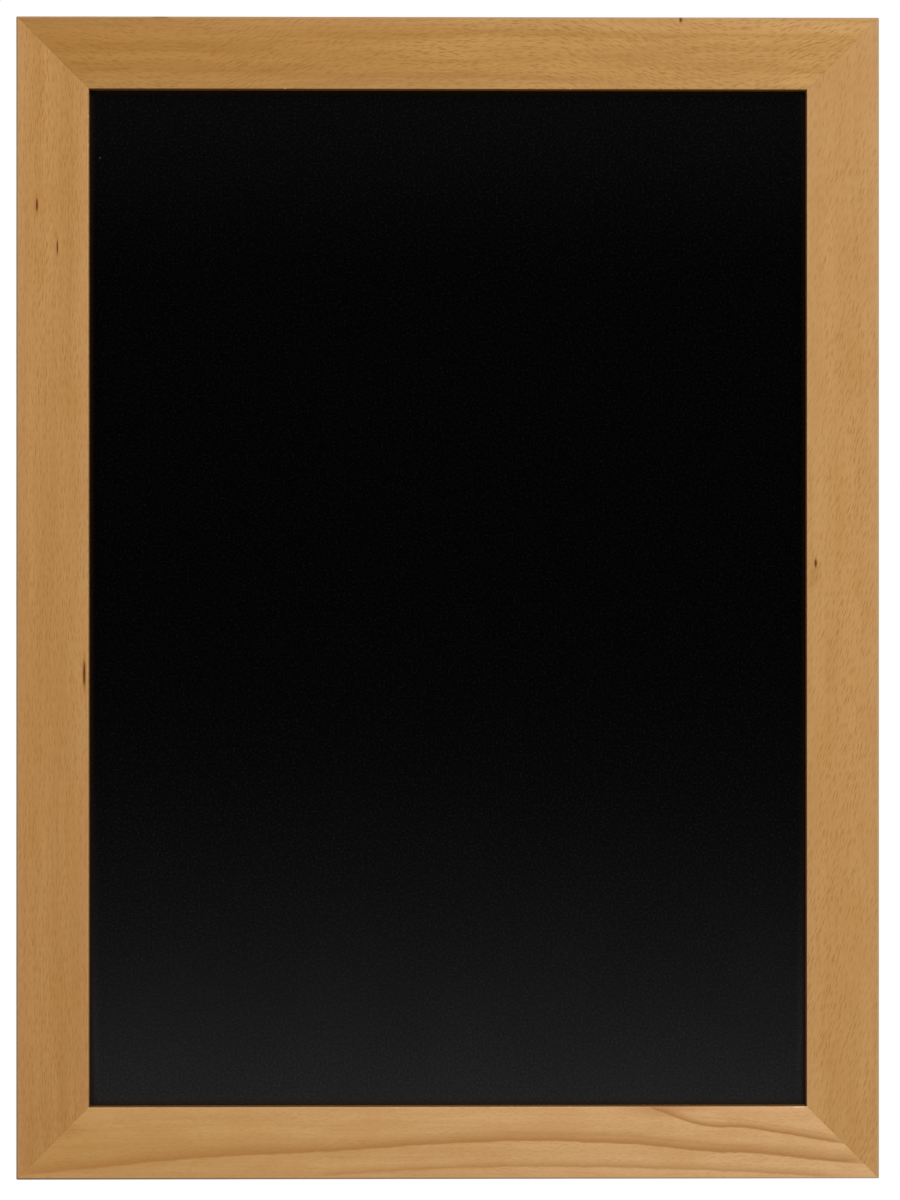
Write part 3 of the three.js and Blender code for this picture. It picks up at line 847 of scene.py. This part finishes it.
def folded_strap():
    """A strap with the middle of the ring's bar at the origin, the wood at -Y and its tail down.

    The sheet is turned round the bar, runs back towards the first layer, and bends down beside it.
    """
    half, mid_sheet = STRAP_WIDTH / 2, EYE_INNER + STRAP_SHEET / 2
    strap = block((-half, -EYE_OUTER, -STRAP_LENGTH), (half, -EYE_INNER, 0))
    edit(strap)
    pick(strap, "FACE", lambda middle, face: face.normal.z > 0.9)
    bpy.ops.mesh.spin(steps=28, angle=FOLD_TURN, center=(0, 0, 0), axis=(1, 0, 0))
    y, z = -mid_sheet * math.cos(FOLD_TURN), mid_sheet * math.sin(FOLD_TURN)
    lean_y, lean_z = -math.sin(PINCH_TURN), -math.cos(PINCH_TURN)
    second_layer = -EYE_OUTER + STRAP_SHEET * 1.5 + LAYER_GAP
    turned = PINCH_RADIUS * (1 - math.cos(PINCH_TURN))
    straight = (y - turned - second_layer) / -lean_y
    pull(0, straight * lean_y, straight * lean_z)
    y, z = y + straight * lean_y, z + straight * lean_z
    bend = (0, y - lean_z * PINCH_RADIUS, z + lean_y * PINCH_RADIUS)
    bpy.ops.mesh.spin(steps=6, angle=-PINCH_TURN, center=bend, axis=(1, 0, 0))
    pull(0, 0, -STRAP_LENGTH - bend[2])
    tail = -STRAP_LENGTH + NEAR
    pick(strap, "EDGE", lambda middle, edge: middle.z < tail and abs(middle.x) > half - NEAR)
    bpy.ops.mesh.bevel(offset=TAIL_ROUND, segments=10, affect="EDGES")
    close()
    cut(strap, join_cutters([upright_rod(STRAP_HOLE, HOLE_CUTTER, (0, 0, -drop)) for drop in SCREW_DROPS]))
    ease(strap, STRAP_EASE)
    smooth(strap)
    return strap


def place_copy(model, name, place):
    """A copy with its own mesh, put in its place."""
    piece = model.copy()
    piece.data = model.data.copy()
    piece.name = name
    bpy.context.scene.collection.objects.link(piece)
    settle(piece, place)
    return piece


strap_model = folded_strap()
strap_model.data.materials.append(strap_zinc)
pivots = {}
for side in SIDES:
    low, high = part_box("hanger_strap_" + side)
    pivots[side] = Vector(((low.x + high.x) / 2, BACK + SEAT_GAP + EYE_OUTER, high.z - EYE_OUTER))
    strap = place_copy(strap_model, "steel_hanger_strap_" + side, pivots[side])
    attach(strap, "board")
    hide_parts("hanger_strap_" + side)
bpy.data.objects.remove(strap_model)

# Hanger rings. Round steel wire bent to a D, with its ends meeting in the middle of the straight side, inside
# the strap's fold. Each swings in its fold. Stored up, it leans on the stile.

WIRE = 1.0 * MM
RING_SEAM = 0.2 * MM
RING_HALF = 8.2 * MM
RING_CORNER = 2.5 * MM
RING_TOP = 13 * MM
RING_EASE = 0.15 * MM
RING_LEAN = math.radians(3.307)
ring_zinc = zinc_plate("ring_zinc", (214, 215, 214), (186, 187, 188), 0.1)


def face_outwards():
    """In edit mode, turns every face of a piece outwards."""
    bpy.ops.mesh.select_all(action="SELECT")
    bpy.ops.mesh.normals_make_consistent(inside=False)


def bent_ring():
    """A ring with the middle of its bar at the origin, standing up in the plane of the board."""
    bpy.ops.object.select_all(action="DESELECT")
    bpy.ops.mesh.primitive_circle_add(vertices=20, radius=WIRE, fill_type="NGON")
    ring = bpy.context.object
    settle(ring, (RING_SEAM, 0, 0), (0, math.pi / 2, 0))
    corner, rise = RING_HALF - RING_CORNER, RING_TOP - RING_HALF
    edit(ring)
    bpy.ops.mesh.select_mode(type="FACE")
    bpy.ops.mesh.select_all(action="SELECT")
    pull(corner - RING_SEAM, 0, 0)
    bpy.ops.mesh.spin(steps=10, angle=math.pi / 2, center=(corner, 0, RING_CORNER), axis=(0, 1, 0))
    pull(0, 0, rise - RING_CORNER)
    bpy.ops.mesh.spin(steps=36, angle=math.pi, center=(0, 0, rise), axis=(0, 1, 0))
    pull(0, 0, RING_CORNER - rise)
    bpy.ops.mesh.spin(steps=10, angle=math.pi / 2, center=(-corner, 0, RING_CORNER), axis=(0, 1, 0))
    pull(corner - RING_SEAM, 0, 0)
    face_outwards()
    close()
    ease(ring, RING_EASE, degrees=60)
    smooth(ring, 40)
    return ring


ring_model = bent_ring()
settle(ring_model, turn=(RING_LEAN, 0, 0))
ring_model.data.materials.append(ring_zinc)
for side in SIDES:
    ring = place_copy(ring_model, "steel_hanger_ring_" + side, pivots[side])
    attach(ring, side + "_ring")
    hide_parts("hanger_ring_" + side)
bpy.data.objects.remove(ring_model)

# Hanger screws. Zinc-plated pan-head wood screws with a cross recess, two through each strap into the stile.
# No two stop at the same turn.

SCREW_HEAD = 2.0 * MM
SCREW_PROFILE = [
    (0.2, -12.0), (1.0, -10.6), (1.5, -9.5), (1.5, 0.0), (3.0, 0.0), (3.0, 0.65), (2.9, 1.05),
    (2.62, 1.42), (2.15, 1.7), (1.5, 1.89), (0.8, 1.98), (0.3, 2.0),
]
RECESS_LENGTH, RECESS_WIDTH, RECESS_DEPTH = 3.2 * MM, 0.8 * MM, 1.1 * MM
RECESS_TAPER = 0.6
HOLE_RADIUS, HOLE_DEPTH = 1.6 * MM, 12 * MM
SCREW_TURNS = {"left_upper": 12, "left_lower": 57, "right_upper": 34, "right_lower": 81}
screw_zinc = zinc_plate("screw_zinc", (198, 200, 204), (150, 152, 158), 0.2)


def turned(profile):
    """A round body from its profile, pairs of radius and height in millimetres, about Z."""
    bpy.ops.object.select_all(action="DESELECT")
    (radius, height), *rest = profile
    bpy.ops.mesh.primitive_circle_add(vertices=40, radius=radius * MM, fill_type="NGON")
    body = bpy.context.object
    settle(body, (0, 0, height * MM))
    edit(body)
    bpy.ops.mesh.select_mode(type="FACE")
    bpy.ops.mesh.select_all(action="SELECT")
    for next_radius, next_height in rest:
        pull(0, 0, (next_height - height) * MM)
        grow = next_radius / radius
        bpy.ops.transform.resize(value=(grow, grow, 1), center_override=(0, 0, next_height * MM))
        radius, height = next_radius, next_height
    face_outwards()
    close()
    return body


def cross_recess(body):
    """Cuts a cross with sloping ends into the top of a screw's head."""
    floor, top = SCREW_HEAD - RECESS_DEPTH, SCREW_HEAD + CUT_PAST
    for length, width in ((RECESS_LENGTH, RECESS_WIDTH), (RECESS_WIDTH, RECESS_LENGTH)):
        arm = block((-length / 2, -width / 2, floor), (length / 2, width / 2, top))
        edit(arm)
        pick(arm, "FACE", lambda middle, face: face.normal.z < -0.9)
        bpy.ops.transform.resize(value=(RECESS_TAPER, RECESS_TAPER, 1), center_override=(0, 0, floor))
        close()
        cut(body, arm)


screw_model = turned(SCREW_PROFILE)
cross_recess(screw_model)
weld(screw_model)
smooth(screw_model, 35)
screw_model.data.materials.append(screw_zinc)
for side in SIDES:
    for spot in ("upper", "lower"):
        name = f"hanger_screw_{side}_{spot}"
        low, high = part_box(name)
        screw = place_copy(screw_model, "steel_" + name, (0, 0, 0))
        settle(screw, turn=(0, 0, math.radians(SCREW_TURNS[side + "_" + spot])))
        seat = ((low.x + high.x) / 2, high.y - SCREW_HEAD, (low.z + high.z) / 2)
        settle(screw, seat, (-math.pi / 2, 0, 0))
        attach(screw, "board")
        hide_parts(name)
        stile = bpy.data.objects[f"beech_{side}_stile"]
        cut(stile, upright_rod(HOLE_RADIUS, 2 * HOLE_DEPTH, (seat[0], BACK, seat[2])))
        smooth(stile)
bpy.data.objects.remove(screw_model)

# Wall bumpers. Moulded rubber feet with a shallow dish in the end, stuck to the back of each stile near its
# lower end. They keep the board upright and off the wall.

BUMPER_PROFILE = [
    (5.7, 0.0), (6.0, 0.25), (5.95, 1.2), (5.75, 3.0), (5.5, 3.9), (5.1, 4.25), (4.6, 4.4), (3.9, 4.32),
    (2.9, 4.05), (0.6, 3.9),
]
RUBBER_DARK, RUBBER_LIGHT = paint(44, 44, 45), paint(70, 69, 69)


def moulded_rubber():
    """Dark grey rubber, dull and a little dusty."""
    material, tree, surface = new_material("moulded_rubber")
    place = node(tree, "TexCoord").outputs["Object"]
    grain = noise(tree, stretched(tree, place, 0.5 * MM, 0.5 * MM, 0.5 * MM), 3.0)
    dust = noise(tree, stretched(tree, place, 4 * MM, 4 * MM, 4 * MM), 3.0)
    tone = weighted(tree, (grain, 0.4), (dust, 0.6))
    colour = tint(tree, span(tree, tone, 0.3, 0.7), RUBBER_DARK, RUBBER_LIGHT)
    tree.links.new(colour, surface.inputs["Base Color"])
    tree.links.new(maths(tree, "MULTIPLY_ADD", grain, 0.2, 0.6), surface.inputs["Roughness"])
    surface.inputs["Specular IOR Level"].default_value = 0.3
    bump(tree, surface, grain, 0.4, 0.05 * MM)
    return material


bumper_model = turned(BUMPER_PROFILE)
smooth(bumper_model, 40)
bumper_model.data.materials.append(moulded_rubber())
for side in SIDES:
    low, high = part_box("wall_bumper_" + side)
    bumper = place_copy(bumper_model, "rubber_wall_bumper_" + side, (0, 0, 0))
    settle(bumper, ((low.x + high.x) / 2, low.y, (low.z + high.z) / 2), (-math.pi / 2, 0, 0))
    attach(bumper, "board")
    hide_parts("wall_bumper_" + side)
bpy.data.objects.remove(bumper_model)

# Studio. The board hangs over a plain pale floor, with white all round for the eye and for gloss. A soft sky
# and three square lamps light it, two in front and one behind. The camera looks at the board's face from
# straight in front, as the photograph does.

FLOOR_DROP = 1.1
FLOOR_SIZE = 9.0
FLOOR_GREY = (0.45, 0.45, 0.45, 1)
FLOOR_GLOW = 1.74
WHITE = (1, 1, 1, 1)
WHITE_LEVEL = 1.02
SKY_SIDE = (0.45, -0.3, 0.84)
SKY_LEAST, SKY_MOST = 0.09, 0.73
# Each lamp's place, size in metres and watts
SOFTBOXES = {
    "key": ((1.2, -3.0, 1.5), 1.4, 56),
    "fill": ((-1.8, -2.4, 0.1), 1.6, 18),
    "behind": ((-1.5, 2.5, 2.2), 1.6, 74),
}


def seen_directly(tree):
    """1 for what the eye, a gloss or a glass sees, and 0 for what only lights the object."""
    rays = node(tree, "LightPath").outputs
    seen = maths(tree, "MAXIMUM", rays["Is Camera Ray"], rays["Is Glossy Ray"])
    return maths(tree, "MAXIMUM", seen, rays["Is Transmission Ray"])


def pale_floor():
    """White to the eye where it is lit, with the object's shadow left in it."""
    material, tree, surface = new_material("pale_floor")
    grey = node(tree, "BsdfDiffuse", {"Color": FLOOR_GREY}).outputs[0]
    glow = node(tree, "Emission", {"Color": WHITE, "Strength": FLOOR_GLOW}).outputs[0]
    bright = node(tree, "MixShader", {0: 0.5, 1: grey, 2: glow}).outputs[0]
    mixed = node(tree, "MixShader", {0: seen_directly(tree), 1: grey, 2: bright}).outputs[0]
    tree.links.new(mixed, tree.nodes["Material Output"].inputs["Surface"])
    tree.nodes.remove(surface)
    return material


def open_sky(tree):
    """White where it is seen directly, and as light a soft sky that grows brighter to one side."""
    tree.nodes.clear()
    white = node(tree, "Background", {"Color": WHITE, "Strength": WHITE_LEVEL}).outputs[0]
    towards = node(tree, "TexCoord").outputs["Generated"]
    lit_side = node(tree, "VectorMath", {0: towards, 1: SKY_SIDE}, operation="DOT_PRODUCT").outputs["Value"]
    level = span(tree, lit_side, -1.0, 1.0, SKY_LEAST, SKY_MOST, "LINEAR")
    soft = node(tree, "Background", {"Color": WHITE, "Strength": level}).outputs[0]
    mixed = node(tree, "MixShader", {0: seen_directly(tree), 1: soft, 2: white}).outputs[0]
    node(tree, "OutputWorld", {"Surface": mixed})


bpy.ops.object.select_all(action="DESELECT")
bpy.ops.mesh.primitive_plane_add(size=FLOOR_SIZE, location=(0, 0, BOARD_BOTTOM - FLOOR_DROP))
floor = bpy.context.object
floor.name = "floor"
floor.data.materials.append(pale_floor())

world = bpy.data.worlds.new("studio")
bpy.context.scene.world = world
world.use_nodes = True
open_sky(world.node_tree)

for name, (place, size, watts) in SOFTBOXES.items():
    lamp = bpy.data.lights.new(name, "AREA")
    lamp.shape = "SQUARE"
    lamp.size = size
    lamp.energy = watts
    stand = bpy.data.objects.new(name, lamp)
    bpy.context.scene.collection.objects.link(stand)
    stand.location = place
    stand.rotation_euler = (Vector((0, 0, MIDDLE_Z)) - Vector(place)).to_track_quat("-Z", "Y").to_euler()

# The photograph's frame, and where the board lies in it: its width and its middle, in the photograph's pixels
FRAME_WIDE, FRAME_HIGH = 900, 1200
PHOTO_BOARD_WIDE = 863.8
PHOTO_CENTRE = (448.2, 598.0)
CAMERA_DISTANCE = 1.6
CAMERA_TURN = math.radians(0.4)
METRES_PER_PIXEL = (BOARD_RIGHT - BOARD_LEFT) / PHOTO_BOARD_WIDE

camera = bpy.data.cameras.new("camera")
camera.sensor_fit = "VERTICAL"
camera.sensor_height = 36
camera.lens = camera.sensor_height * CAMERA_DISTANCE / (FRAME_HIGH * METRES_PER_PIXEL)
tripod = bpy.data.objects.new("camera", camera)
bpy.context.scene.collection.objects.link(tripod)
tripod.location = (
    (FRAME_WIDE / 2 - PHOTO_CENTRE[0]) * METRES_PER_PIXEL - CAMERA_DISTANCE * math.sin(CAMERA_TURN),
    FRONT - CAMERA_DISTANCE,
    MIDDLE_Z - (FRAME_HIGH / 2 - PHOTO_CENTRE[1]) * METRES_PER_PIXEL,
)
tripod.rotation_euler = (math.pi / 2, 0, -CAMERA_TURN)
bpy.context.scene.camera = tripod
bpy.context.scene.view_settings.view_transform = "Standard"
